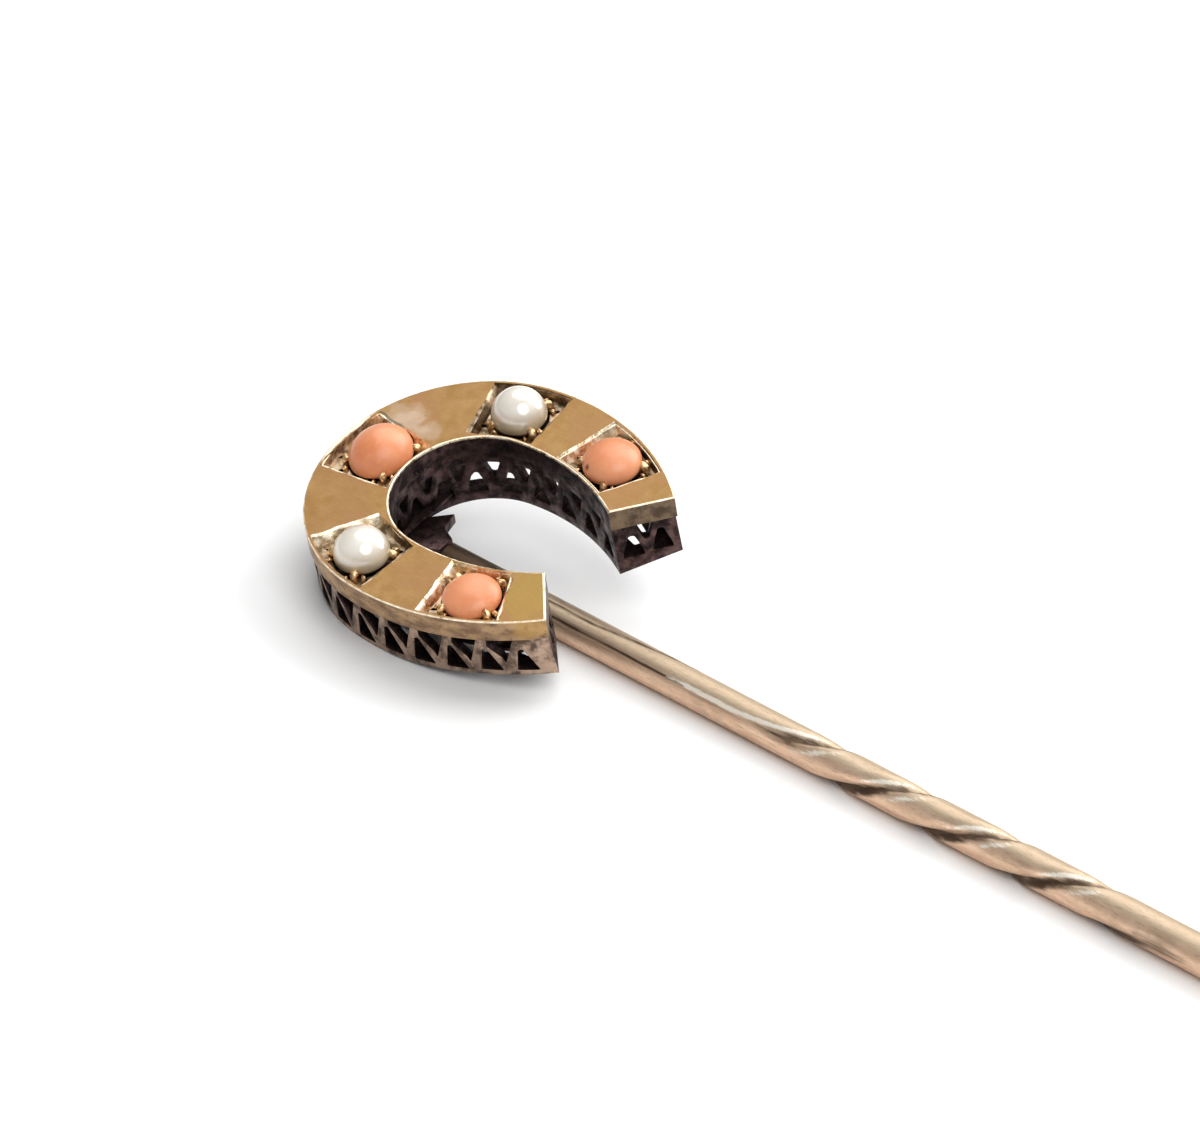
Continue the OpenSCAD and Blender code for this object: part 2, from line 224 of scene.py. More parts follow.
def apply_modifiers(obj):
    graph = bpy.context.evaluated_depsgraph_get()
    graph.update()
    mesh = bpy.data.meshes.new_from_object(obj.evaluated_get(graph))
    old = obj.data
    obj.modifiers.clear()
    obj.data = mesh
    mesh.name = old.name
    bpy.data.meshes.remove(old)


def carve(obj, cutter, operation="DIFFERENCE"):
    """Cut one solid with another, which goes."""
    cut = obj.modifiers.new("cut", "BOOLEAN")
    cut.object, cut.operation, cut.solver, cut.use_self = cutter, operation, "EXACT", True
    apply_modifiers(obj)
    bpy.data.objects.remove(cutter)


def soften(obj, width):
    """Round every edge a little, as polishing does."""
    edge = obj.modifiers.new("soft edge", "BEVEL")
    edge.width, edge.segments, edge.limit_method = width, 2, "ANGLE"
    edge.angle_limit = math.radians(28)
    apply_modifiers(obj)


def finish_piece(obj, place, smooth=40):
    """Smooth shading up to an angle, the piece's place and what it belongs to."""
    bm = bmesh.new()
    bm.from_mesh(obj.data)
    for face in bm.faces:
        face.smooth = True
    for edge in bm.edges:
        edge.smooth = len(edge.link_faces) != 2 or edge.calc_face_angle(0) < math.radians(smooth)
    bmesh.ops.transform(bm, matrix=place, verts=bm.verts)
    bm.to_mesh(obj.data)
    bm.free()
    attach(obj, "root")
    return obj


def at_setting(setting):
    _, x, y, turn = setting[:4]
    return Matrix.Translation((x, y, 0)) @ Matrix.Rotation(math.radians(180 - turn), 4, "Z")


# Materials


def point_on_head(x, y, z):
    """A point of the head's frame in the world's millimetres."""
    return tuple(c / MM for c in HEAD @ Vector((x, y, z)))


def srgb(r, g, b):
    """Linear colour of an sRGB colour given from 0 to 255."""
    parts = [c / 255 for c in (r, g, b)]
    return tuple(c / 12.92 if c <= 0.04045 else ((c + 0.055) / 1.055) ** 2.4 for c in parts) + (1,)


class Finish:
    """A Principled material with short calls for the nodes that feed it."""

    def __init__(self, name, **sockets):
        self.material = bpy.data.materials.new(name)
        self.material.use_nodes = True
        self.tree = self.material.node_tree
        self.shader = self.tree.nodes["Principled BSDF"]
        self.place = self.tree.nodes.new("ShaderNodeTexCoord").outputs["Object"]
        for socket, value in sockets.items():
            self.shader.inputs[socket.replace("_", " ")].default_value = value

    def node(self, kind, links=None, **settings):
        made = self.tree.nodes.new(kind)
        for key, value in settings.items():
            setattr(made, key, value)
        for key, value in (links or {}).items():
            if isinstance(value, bpy.types.NodeSocket):
                self.tree.links.new(value, made.inputs[key])
            else:
                made.inputs[key].default_value = value
        return made

    def stretched(self, turn, scale):
        """Object coordinates in millimetres, turned about z and scaled per axis."""
        mapping = self.node("ShaderNodeMapping", {"Vector": self.place}, vector_type="POINT")
        mapping.inputs["Rotation"].default_value = (0, 0, math.radians(turn))
        mapping.inputs["Scale"].default_value = tuple(s / MM for s in scale)
        return mapping.outputs["Vector"]

    def cloud(self, scale, detail=3.0, roughness=0.55, vector=None):
        """Noise with scale in features for each millimetre."""
        if vector is None:
            vector = self.stretched(0, (1, 1, 1))
        links = {"Vector": vector, "Scale": scale, "Detail": detail, "Roughness": roughness}
        return self.node("ShaderNodeTexNoise", links).outputs["Fac"]

    def fade(self, value, low, high, to_low=0.0, to_high=1.0):
        """Smooth step of a value between two limits."""
        links = {"Value": value, "From Min": low, "From Max": high, "To Min": to_low, "To Max": to_high}
        return self.node("ShaderNodeMapRange", links, interpolation_type="SMOOTHSTEP").outputs["Result"]

    def blend(self, factor, first, second):
        links = {0: factor, 6: first, 7: second}
        return self.node("ShaderNodeMix", links, data_type="RGBA").outputs[2]

    def sum(self, first, second, operation="ADD"):
        return self.node("ShaderNodeMath", {0: first, 1: second}, operation=operation).outputs[0]

    def distance(self, point):
        """Distance from a point given in world millimetres."""
        links = {0: self.place, 1: tuple(c * MM for c in point)}
        return self.node("ShaderNodeVectorMath", links, operation="DISTANCE").outputs["Value"]

    def attribute(self, name):
        return self.node("ShaderNodeAttribute", attribute_name=name).outputs["Fac"]

    def spot(self, point, radius, ragged=0.0, strength=1.0):
        """Strength inside a small ball about a point in world millimetres, fading to 0 at its edge."""
        away = self.distance(point)
        if ragged:
            torn = self.fade(self.cloud(1.5, 3.0, 0.5), 0.25, 0.75, -ragged * MM, ragged * MM)
            away = self.sum(away, torn)
        return self.fade(away, radius * MM, radius * MM * 0.45, 0, strength)

    def bump(self, height, depth, strength=1.0):
        links = {"Height": height, "Distance": depth * MM, "Strength": strength}
        return self.node("ShaderNodeBump", links).outputs["Normal"]

    def feed(self, socket, value):
        self.tree.links.new(value, self.shader.inputs[socket])


# Painted sheen on the front beside the toe coral, pale patches that stand in for a reflection: x, y, radius
# and strength of each patch
PAINTED_SHEEN = [(-4.75, 1.7, 0.65, 0.35), (-4.1, 1.55, 0.65, 0.5), (-3.5, 1.4, 0.6, 0.35)]
PAINTED_SHEEN_RAGGED = 0.25


def brushed_gold():
    """Matt front: soft cloudy colour, fine scratches both ways, a painted pale sheen beside the toe coral,
    a yellower end at the near heel and a painted highlight along the rim at the toe."""
    f = Finish("brushed gold", Metallic=1.0)
    tone = f.cloud(1.8, 4.0, 0.6)
    patch = f.cloud(0.6, 2.0)
    along = f.cloud(1.0, 2.0, 0.7, f.stretched(20, (3, 26, 10)))
    across = f.cloud(1.0, 2.0, 0.7, f.stretched(75, (3, 30, 10)))
    scratches = f.sum(along, across)
    colour = f.blend(f.fade(tone, 0.3, 0.72), srgb(158, 121, 72), srgb(184, 148, 98))
    colour = f.blend(f.fade(patch, 0.42, 0.68, 0, 0.6), colour, srgb(172, 130, 92))
    colour = f.blend(f.fade(scratches, 1.08, 1.3, 0, 0.25), colour, srgb(200, 166, 118))
    # Painted sheen: pale patches that stand in for a reflection beside the toe coral.
    for x, y, radius, strength in PAINTED_SHEEN:
        paleness = f.spot(point_on_head(x, y, HEAD_H), radius, PAINTED_SHEEN_RAGGED, strength)
        colour = f.blend(paleness, colour, srgb(210, 190, 170))
    yellow = f.spot(point_on_head(3.9, -2.3, HEAD_H), 1.5, 0.3, 0.6)
    colour = f.blend(yellow, colour, srgb(176, 148, 82))
    # Painted highlight: the rim round the toe is painted near white, standing in for the light that its
    # bevel catches.
    uneven = f.fade(tone, 0.3, 0.7, -0.04 * MM, 0.04 * MM)
    away = f.sum(f.distance(point_on_head(TOE_OUT_C.x, 0, HEAD_H)), uneven)
    rim = f.fade(away, (TOE_OUT_R - 0.19) * MM, (TOE_OUT_R - RIM_W) * MM)
    rim = f.sum(rim, f.spot(point_on_head(-5.45, 0.0, HEAD_H), 1.5, 0.15), "MULTIPLY")
    colour = f.blend(rim, colour, srgb(255, 244, 222))
    f.feed("Base Color", colour)
    f.feed("Roughness", f.fade(tone, 0.3, 0.7, 0.48, 0.6))
    f.feed("Normal", f.bump(f.sum(scratches, tone), 0.006, 0.7))
    return f.material


def cut_gold(name, low, high):
    """Bright-cut metal: polished, with small tool marks and specks of dirt."""
    f = Finish(name, Metallic=1.0)
    marks = f.cloud(4.5, 3.0, 0.6)
    dirt = f.cloud(2.2, 4.0, 0.65)
    colour = f.blend(f.fade(marks, 0.35, 0.65), low, high)
    colour = f.blend(f.fade(dirt, 0.54, 0.7, 0, 0.75), colour, srgb(128, 100, 70))
    f.feed("Base Color", colour)
    f.feed("Roughness", f.fade(marks, 0.3, 0.7, 0.22, 0.45))
    f.feed("Normal", f.bump(marks, 0.03, 0.7))
    return f.material


def recess_gold():
    """Floor of a recess: dull grey-brown metal with dark dirt."""
    f = Finish("tarnished recess", Metallic=1.0)
    dirt = f.cloud(2.6, 4.0, 0.6)
    colour = f.blend(f.fade(dirt, 0.36, 0.62), srgb(96, 78, 54), srgb(186, 164, 138))
    f.feed("Base Color", colour)
    f.feed("Roughness", f.fade(dirt, 0.3, 0.7, 0.5, 0.3))
    f.feed("Normal", f.bump(dirt, 0.03, 0.6))
    return f.material


def band_gold():
    """Outer side of the front plate: dull brown gold in streaks, with a golden spot at the near heel."""
    f = Finish("worn band", Metallic=1.0)
    streak = f.cloud(1.0, 4.0, 0.6, f.stretched(0, (1.2, 1.2, 3)))
    spot = f.cloud(5.0, 3.0)
    colour = f.blend(f.fade(streak, 0.35, 0.68), srgb(128, 102, 82), srgb(178, 146, 110))
    colour = f.blend(f.fade(spot, 0.52, 0.75, 0, 0.6), colour, srgb(104, 82, 68))
    golden = f.spot(point_on_head(4.5, -3.2, HEAD_H - 0.2), 0.8, 0.3, 0.6)
    colour = f.blend(golden, colour, srgb(176, 140, 82))
    f.feed("Base Color", colour)
    f.feed("Roughness", f.fade(spot, 0.3, 0.7, 0.34, 0.5))
    f.feed("Normal", f.bump(spot, 0.008, 0.5))
    return f.material


def heel_gold():
    """Ends of the front plate: grey-brown, tarnished gold."""
    f = Finish("tarnished heel", Metallic=1.0)
    tone = f.cloud(2.4, 4.0, 0.6)
    colour = f.blend(f.fade(tone, 0.34, 0.66), srgb(76, 64, 54), srgb(126, 108, 88))
    f.feed("Base Color", colour)
    f.feed("Roughness", f.fade(tone, 0.3, 0.7, 0.36, 0.5))
    f.feed("Normal", f.bump(tone, 0.01, 0.5))
    return f.material


def dark_gallery():
    """Blackened metal in the gallery, with purple-brown bloom."""
    f = Finish("blackened gallery", Metallic=1.0)
    bloom = f.cloud(2.6, 4.0, 0.6)
    fine = f.cloud(9.0, 2.0)
    colour = f.blend(f.fade(bloom, 0.34, 0.7), srgb(38, 29, 31), srgb(98, 78, 76))
    colour = f.blend(f.fade(fine, 0.6, 0.8, 0, 0.5), colour, srgb(130, 102, 90))
    f.feed("Base Color", colour)
    f.feed("Roughness", f.fade(bloom, 0.3, 0.7, 0.62, 0.36))
    f.feed("Normal", f.bump(fine, 0.015, 0.6))
    return f.material


def rubbed_gallery():
    """Outside of the gallery: pinkish brown metal, dark in patches."""
    f = Finish("rubbed gallery", Metallic=1.0)
    patch = f.cloud(1.9, 4.0, 0.6)
    fine = f.cloud(8.0, 2.0)
    colour = f.blend(f.fade(patch, 0.38, 0.62), srgb(90, 74, 64), srgb(178, 152, 132))
    colour = f.blend(f.fade(fine, 0.58, 0.78, 0, 0.55), colour, srgb(72, 56, 50))
    f.feed("Base Color", colour)
    f.feed("Roughness", f.fade(patch, 0.3, 0.7, 0.5, 0.3))
    f.feed("Normal", f.bump(fine, 0.012, 0.6))
    return f.material


# Direction across the wire towards which a grey reflection of the room is painted
GREY_REFLECTION_SIDE = (0, 0.62, 0.79)


def stem_gold():
    """Rose gold wire, satin, with a painted grey reflection on its upper side, painted dark reflections in
    its crease and grooves, a brown, darker stretch under the head, and painted highlights along the
    grooves' edges."""
    f = Finish("rose gold wire", Metallic=1.0)
    drawn = f.cloud(1.0, 4.0, 0.6, f.stretched(0, (0.5, 5, 5)))
    fine = f.cloud(1.0, 3.0, 0.6, f.stretched(0, (4, 24, 24)))
    stain = f.cloud(0.8, 4.0, 0.6)
    colour = f.blend(f.fade(drawn, 0.3, 0.7), srgb(216, 182, 154), srgb(240, 208, 180))
    colour = f.blend(f.fade(stain, 0.5, 0.74, 0, 0.5), colour, srgb(178, 150, 124))
    # Painted reflection: the upper side of the wire is greyer, standing in for the grey room reflected in
    # it.
    links = {0: f.place, 1: GREY_REFLECTION_SIDE}
    upper = f.node("ShaderNodeVectorMath", links, operation="DOT_PRODUCT").outputs["Value"]
    colour = f.blend(f.fade(upper, -0.1 * MM, 0.2 * MM, 0, 0.8), colour, srgb(200, 182, 156))
    colour = f.blend(f.fade(fine, 0.5, 0.72, 0, 0.45), colour, srgb(150, 126, 102))
    # Dark marks from the vertices: painted dark reflections in the crease and grooves, and a darker stretch
    # under the head.
    darkened = f.sum(f.attribute("dark_marks"), f.fade(drawn, 0.3, 0.7, -0.25, 0.25))
    colour = f.blend(f.fade(darkened, 0.25, 0.95), colour, srgb(98, 80, 66))
    # Painted highlights: the streaks are painted near white and made less metallic, so they read bright.
    streak = f.sum(f.attribute("streak"), f.fade(fine, 0.3, 0.7, -0.2, 0.2))
    streak = f.fade(streak, 0.2, 0.75)
    colour = f.blend(streak, colour, srgb(255, 246, 230))
    f.feed("Base Color", colour)
    f.feed("Roughness", f.fade(streak, 0, 1, 0.52, 0.4))
    f.feed("Metallic", f.fade(streak, 0, 1, 1.0, 0.5))
    f.feed("Normal", f.bump(fine, 0.01, 0.7))
    return f.material


def coral_stone(pits):
    """Salmon coral: even, waxy, with soft paler clouds, fine grain and a few dark pits."""
    f = Finish(
        "salmon coral",
        Roughness=0.36,
        IOR=1.49,
        Subsurface_Weight=0.2,
        Subsurface_Scale=0.4 * MM,
        Subsurface_Radius=(1.0, 0.4, 0.22),
        Coat_Weight=0.2,
        Coat_Roughness=0.22,
    )
    cloud = f.cloud(0.8, 2.0, 0.5)
    grain = f.cloud(6.0, 3.0)
    colour = f.blend(f.fade(cloud, 0.3, 0.7), srgb(226, 138, 90), srgb(238, 160, 116))
    colour = f.blend(f.fade(grain, 0.5, 0.75, 0, 0.3), colour, srgb(244, 178, 136))
    for point, radius in pits:
        colour = f.blend(f.spot(point, radius), colour, srgb(112, 62, 36))
    f.feed("Base Color", colour)
    f.feed("Normal", f.bump(grain, 0.004, 0.5))
    return f.material


def pearl_stone(crown):
    """Cream pearl: satin body with a clear skin, and a painted brown reflection of the gold and floor
    towards its foot.
    """
    f = Finish(
        "cream pearl",
        Roughness=0.25,
        IOR=1.7,
        Subsurface_Weight=0.25,
        Subsurface_Scale=0.3 * MM,
        Subsurface_Radius=(1.0, 0.9, 0.75),
        Coat_Weight=1.0,
        Coat_Roughness=0.06,
        Coat_IOR=1.9,
    )
    cloud = f.cloud(1.2, 2.0, 0.5)
    # Painted reflection: away from the crown the pearl turns brown, standing in for the gold and the floor
    # reflected low on it.
    away = f.sum(f.distance(crown), f.fade(cloud, 0.3, 0.7, -0.08 * MM, 0.08 * MM))
    low = f.fade(away, 0.55 * MM, 1.3 * MM)
    colour = f.blend(f.fade(cloud, 0.3, 0.7), srgb(238, 230, 216), srgb(250, 245, 235))
    colour = f.blend(low, colour, srgb(186, 164, 130))
    f.feed("Base Color", colour)
    f.feed("Normal", f.bump(f.cloud(3.0, 2.0), 0.006, 0.4))
    return f.material


BRUSHED = brushed_gold()
BRIGHT = cut_gold("bright cut gold", srgb(220, 198, 164), srgb(255, 244, 222))
BEAD = cut_gold("raised gold", srgb(196, 152, 106), srgb(246, 214, 168))
RECESS = recess_gold()
BAND = band_gold()
HEEL = heel_gold()
DARK = dark_gallery()
RUBBED = rubbed_gallery()
WIRE = stem_gold()


# Front plate

# Points along each side of a recess, less one, and how far the sides wander
SIDE_STEPS = 10
SIDE_JAG = 0.05
# Lean of a recess's sides, and lean, depth and spread of the flared lip round it
RECESS_LEAN = 0.65
LIP_LEAN, LIP_T, LIP_SPREAD = 1.0, 0.06, 0.05


def pocket_cutter(name, depth, margin, lean, spread):
    """Tapered pockets, kept inside the rims. Their sides along the band lean, spread and are jagged."""
    low_z, r = HEAD_H - depth, RECESS_REACH
    pockets = object_of(head_solid(margin + 0.3 * depth, low_z, margin - 0.06, HEAD_H + 0.2), name)
    shares = [k / SIDE_STEPS for k in range(SIDE_STEPS + 1)]
    bm = bmesh.new()
    for n, setting in enumerate(SETTINGS):
        (out_a, inn_a), (out_b, inn_b) = setting[4:6]
        outline = [(r - 2 * r * t, out_a + (inn_a - out_a) * t) for t in shares]
        outline += [(r - 2 * r * t, out_b + (inn_b - out_b) * t) for t in reversed(shares)]
        low, high = plate_of(bm, outline, low_z - 0.1, HEAD_H + 0.3)
        for v in low + high:
            side = math.copysign(1, v.co.y)
            wide = spread * (1 + 1.4 * noise.noise(Vector((n * 3.3, side * 2.1, v.co.x * 1.3))))
            wide += SIDE_JAG * noise.noise(Vector((n * 5.1, side * 4.7, v.co.x * 3.1 + depth * 9)))
            v.co.y += side * (wide + lean * (v.co.z - HEAD_H))
        bmesh.ops.transform(bm, matrix=at_setting(setting), verts=low + high)
    carve(pockets, object_of(bm, name + "_sides"), "INTERSECT")
    return pockets


def seat_cutter():
    """Wells under the stones."""
    bm = bmesh.new()
    for setting in SETTINGS:
        well = bmesh.ops.create_cone(
            bm, cap_ends=True, segments=72, radius1=1.0, radius2=1.0, depth=SEAT_T
        )["verts"]
        radial, along = setting[6][:2]
        bmesh.ops.scale(bm, vec=(radial + STONE_GAP, along + STONE_GAP, 1), verts=well)
        lift = Matrix.Translation((0, 0, HEAD_H - SEAT_T / 2))
        bmesh.ops.transform(bm, matrix=at_setting(setting) @ lift, verts=well)
    return object_of(bm, "seats")


def grain_place(setting, angle, out):
    """A place at an angle round a stone, out from its edge, at the recess floor."""
    radial, along = setting[6][:2]
    a = math.radians(angle)
    edge = 1 / math.hypot(math.cos(a) / radial, math.sin(a) / along)
    turn = Matrix.Rotation(a, 4, "Z")
    return at_setting(setting) @ turn @ Matrix.Translation((edge + out, 0, HEAD_H - RECESS_T))


GRAIN_ANGLES = (45, 135, 225, 315)
# A graver cut's length, width and depth as radii, its angle from its grain and distance from the stone
GOUGE = (0.2, 0.075, 0.13)
GOUGE_TURN, GOUGE_OUT = 14, 0.16


def gouge_cutter():
    """Graver cuts beside the grains, left when the grains were raised."""
    length, width, depth = GOUGE
    bm = bmesh.new()
    for n, setting in enumerate(SETTINGS):
        for k, angle in enumerate(GRAIN_ANGLES):
            for side in (-1, 1):
                seed = noise.noise_vector((n * 2.3, k * 1.9 + side, 0.7))
                dent = bmesh.ops.create_icosphere(bm, subdivisions=2, radius=1.0)["verts"]
                size = (length + 0.05 * seed.x, width, depth + 0.04 * seed.y)
                bmesh.ops.scale(bm, vec=size, verts=dent)
                place = grain_place(setting, angle + side * GOUGE_TURN + 4 * seed.z, GOUGE_OUT)
                bmesh.ops.transform(bm, matrix=place, verts=dent)
    return object_of(bm, "gouges")


def inside_edge(point, toe_c, toe_r, sweep, arm_c, arm_r):
    """How far a point lies inside one edge's two arcs."""
    p = Vector((point.x, abs(point.y), 0))
    angle = math.degrees(math.atan2(p.y - toe_c.y, p.x - toe_c.x))
    return toe_r - (p - toe_c).length if angle > 180 - sweep else arm_r - (p - arm_c).length


def from_outer(point):
    return inside_edge(point, TOE_OUT_C, TOE_OUT_R, TOE_OUT_SWEEP, ARM_OUT_C, ARM_OUT_R)


def from_inner(point):
    return -inside_edge(point, TOE_IN_C, TOE_IN_R, TOE_IN_SWEEP, ARM_IN_C, ARM_IN_R)


def from_heel(point):
    p = Vector((point.x, abs(point.y), 0))
    return (HEEL_IN - p).dot(HEEL_NORMAL)


# What a face of the front plate is made of, by its place
FRONT, CUT, FLOOR, SIDE, HIDDEN, END = range(6)
PLATE_FINISH = [BRUSHED, BRIGHT, RECESS, BAND, DARK, HEEL]
# How near the front or an edge a point counts as on it
ON_FRONT, ON_EDGE = 0.002, 0.004
# Width of the polished edge along each side of the front
POLISHED = ((from_inner, 0.065), (from_outer, 0.035), (from_heel, 0.07))


def polish_rims(plate):
    """Wider polished edges along the front's outline."""
    bm = bmesh.new()
    bm.from_mesh(plate.data)
    for distance, width in POLISHED:
        rim = [
            e
            for e in bm.edges
            if all(v.co.z > HEAD_H - 1e-3 and abs(distance(v.co)) < 2e-3 for v in e.verts)
        ]
        bmesh.ops.bevel(bm, geom=rim, offset=width, affect="EDGES", segments=2, profile=0.5, material=CUT)
    bm.to_mesh(plate.data)
    bm.free()


# Sides of recesses whose walls are dull, on the +y or -y side of the setting
DULL_WALLS = (("pearl_far", 1), ("pearl_far", -1), ("coral_far", -1), ("pearl_near", 1))


def wall_at(point):
    """Setting that a recess's wall belongs to, and the side of its stone that it is on."""
    setting = min(SETTINGS, key=lambda s: (point.xy - Vector(s[1:3])).length)
    return setting[0], math.copysign(1, (at_setting(setting).inverted() @ point).y)


def front_plate():
    """Flat front with its recesses and seats. Faces get their finish from where they lie."""
    plate = object_of(head_solid(0, GALLERY_H, 0, HEAD_H), "front_plate", PLATE_FINISH)
    carve(plate, pocket_cutter("recesses", RECESS_T, RIM_W, RECESS_LEAN, 0.0))
    carve(plate, pocket_cutter("lips", LIP_T, RIM_W - 0.03, LIP_LEAN, LIP_SPREAD))
    carve(plate, gouge_cutter())
    carve(plate, seat_cutter())
    floor_z = HEAD_H - RECESS_T
    for polygon in plate.data.polygons:
        centre, up = polygon.center, polygon.normal.z
        if centre.z > HEAD_H - ON_FRONT:
            polygon.material_index = FRONT
        elif from_outer(centre) < ON_EDGE:
            polygon.material_index = SIDE
        elif from_heel(centre) < ON_EDGE:
            polygon.material_index = END
        # Faces along the inner side and below the recess floor, in the graver cuts and the seats, take the
        # dark finish, so the cuts are darker.
        elif from_inner(centre) < ON_EDGE or centre.z < floor_z - 0.01:
            polygon.material_index = HIDDEN
        else:
            dull = wall_at(centre) in DULL_WALLS or (up > 0.95 and centre.z < floor_z + 0.1)
            polygon.material_index = FLOOR if dull else CUT
    polish_rims(plate)
    soften(plate, 0.018)
    finish_piece(plate, HEAD)
    flat = plate.modifiers.new("flat faces", "WEIGHTED_NORMAL")
    flat.keep_sharp = True
    return plate


# A bead and the two chips beside it: size, turn from the bead, distance out from the stone, and lift
GRAIN = [(1.0, 0, 0.05, 0.12), (0.62, 15, 0.13, 0.05), (0.5, -15, 0.15, 0.03)]
GRAIN_TILT = -0.4
GRAIN_STRETCH = (1.15, 0.85, 1.3)
GRAIN_DENT = 0.035


def grains():
    """Beads raised from the recess floor over each stone's edge, with small chips beside them."""
    bm = bmesh.new()
    for n, setting in enumerate(SETTINGS):
        for k, angle in enumerate(GRAIN_ANGLES):
            seed = noise.noise_vector((n * 3.1, k * 1.7, 0.4))
            for size, side, out, lift in GRAIN:
                radius = GRAIN_R * size * (1 + 0.3 * seed.z)
                bead = bmesh.ops.create_icosphere(bm, subdivisions=3, radius=radius)["verts"]
                bmesh.ops.scale(bm, vec=GRAIN_STRETCH, verts=bead)
                shift = Vector((n * 5.3, k * 2.9, size * 4))
                for v in bead:
                    v.co += v.co.normalized() * GRAIN_DENT * noise.noise(v.co * 8 + shift)
                place = (
                    grain_place(setting, angle + side + 5 * seed.y, out + 0.04 * seed.x)
                    @ Matrix.Translation((0, 0, lift))
                    @ Matrix.Rotation(GRAIN_TILT, 4, "Y")
                )
                bmesh.ops.transform(bm, matrix=place, verts=bead)
    return finish_piece(object_of(bm, "grains", [BEAD]), HEAD, 180)


# Gallery

# Radius of a hole's corners. The rounded holes are drawn slightly larger than the source's.
HOLE_CORNER = 0.06
# How much the holes differ in width, in the places of their corners and in height
HOLE_WIDTH_VARY, HOLE_CORNER_VARY, HOLE_LIFT_VARY = 0.06, 0.03, 0.02


def hole(bm, points, place):
    """One hole's cutter: a flat outline with rounded corners, thickened and stood on edge."""
    seed = noise.noise_vector(place.translation * 3.7)
    uneven = []
    for n, (x, y) in enumerate(points):
        shift = HOLE_CORNER_VARY * noise.noise(place.translation * 5 + Vector((n, 0, 0)))
        uneven.append((x * (1 + HOLE_WIDTH_VARY * seed.x) + shift, y + HOLE_LIFT_VARY * seed.y))
    verts, top = plate_of(bm, uneven, -WALL * 1.4, WALL * 1.4)
    uprights = [next(e for e in v.link_edges if e.other_vert(v) in top) for v in verts]
    made = bmesh.ops.bevel(
        bm,
        geom=uprights,
        offset=HOLE_CORNER,
        affect="EDGES",
        segments=4,
        profile=0.5,
        material=-1,
        offset_type="OFFSET",
    )
    stand = Matrix.Rotation(math.radians(90), 4, "Z") @ Matrix.Rotation(math.radians(90), 4, "X")
    verts = {v for v in verts + top + made["verts"] if v.is_valid}
    bmesh.ops.transform(bm, matrix=place @ stand, verts=list(verts))


def upright(foot):
    """Outline of a hole that stands on its foot, with rounded shoulders and a narrow top."""
    w, top = UPRIGHT_HOLE[0] / 2 + 0.03, foot + UPRIGHT_HOLE[1] + 0.08
    shoulder, shoulder_z, tip = w * 0.8, foot + 0.28, 0.09
    return [(-w, foot), (w, foot), (shoulder, shoulder_z), (tip, top), (-tip, top), (-shoulder, shoulder_z)]


def hanging():
    """Outline of a hole that is wide under the plate and narrow below."""
    w, foot = HANGING_HOLE[0] / 2 + 0.04, GALLERY_H - HANGING_HOLE[1]
    return [(-w, GALLERY_H - 0.02), (-0.07, foot), (0.07, foot), (w, GALLERY_H - 0.02)]


# In the outer wall an upright hole leans towards the toe, and a thin leaning bar parts it from the
# hanging hole on its heel side: widths of the bar, the post and half a hole's foot, and the hole's tip
BAR, POST, HALF_FOOT, TIP = 0.12, 0.24, 0.36, (-0.17, 1.14)


def leaning(foot):
    """Outline of an upright hole that leans towards the toe."""
    return [(-HALF_FOOT, foot), (HALF_FOOT, foot), (TIP[0] + 0.07, TIP[1]), (TIP[0] - 0.07, TIP[1] - 0.05)]


def leaning_hanging(foot, pitch, first):
    """Outline of the hanging hole between two leaning ones, narrower beside the toe's own hole."""
    shift = 0.3 if first else 0
    slant = (HALF_FOOT - TIP[0]) / (TIP[1] - foot)
    low = pitch - HALF_FOOT - POST
    return [
        (low - 0.1, foot + 0.4 + BAR),
        (low, foot + 0.3),
        (low + 0.29, GALLERY_H - 0.02),
        (TIP[0] + BAR + shift, GALLERY_H - 0.02),
        (HALF_FOOT + BAR * 1.2 - slant * (TIP[1] + 0.1 - foot) + shift, TIP[1] + 0.1),
    ]


def along_wall(toe_c, toe_r, sweep, arm_c, arm_r, s):
    """Place on a wall at distance s from the toe, x pointing out of it."""
    toe_l = toe_r * math.radians(sweep)
    if s < toe_l:
        angle = 180 - math.degrees(s / toe_r)
        return toe_c + polar(toe_r, angle), angle
    angle = 180 - sweep - math.degrees((s - toe_l) / arm_r)
    return arm_c + polar(arm_r, angle), angle


def rise(x):
    """How much higher the outer wall's foot is towards the heels."""
    return HEEL_RISE * max((x - RISE_X) / (HEEL_OUT.x - RISE_X), 0)


def wall_holes(bm, toe_c, toe_r, sweep, arm_c, arm_r, count, outer):
    """Upright and hanging holes in turn along one wall, on both arms."""
    arm_l = arm_r * math.radians(180 - sweep - heel_angle(arm_c, arm_r, GALLERY_INSET))
    step = (toe_r * math.radians(sweep) + arm_l - CORNER_POST) / count
    for side in (1, -1):
        for k in range(count):
            at, angle = along_wall(toe_c, toe_r, sweep, arm_c, arm_r, k * step)
            place = Matrix.Translation((at.x, side * at.y, 0 if outer else -INNER_DROP))
            place @= Matrix.Rotation(math.radians(side * angle), 4, "Z") @ Matrix.Diagonal((1, -side, 1, 1))
            foot = OUTER_RAIL_H + rise(at.x) if outer else RAIL_H
            if k % 2 == 0 and (k or side > 0):
                hole(bm, leaning(foot) if outer and k else upright(foot), place)
            if k % 2 and not outer:
                hole(bm, hanging(), place)
            if outer and k % 2 == 0 and k < count - 1:
                hole(bm, leaning_hanging(foot, 2 * step, k == 0), place)
    bmesh.ops.recalc_face_normals(bm, faces=bm.faces)


# Foot of the upright hole beside a heel's inner corner, and beside its outer one
HEEL_FOOT_IN, HEEL_FOOT_OUT = 0.3, 0.38


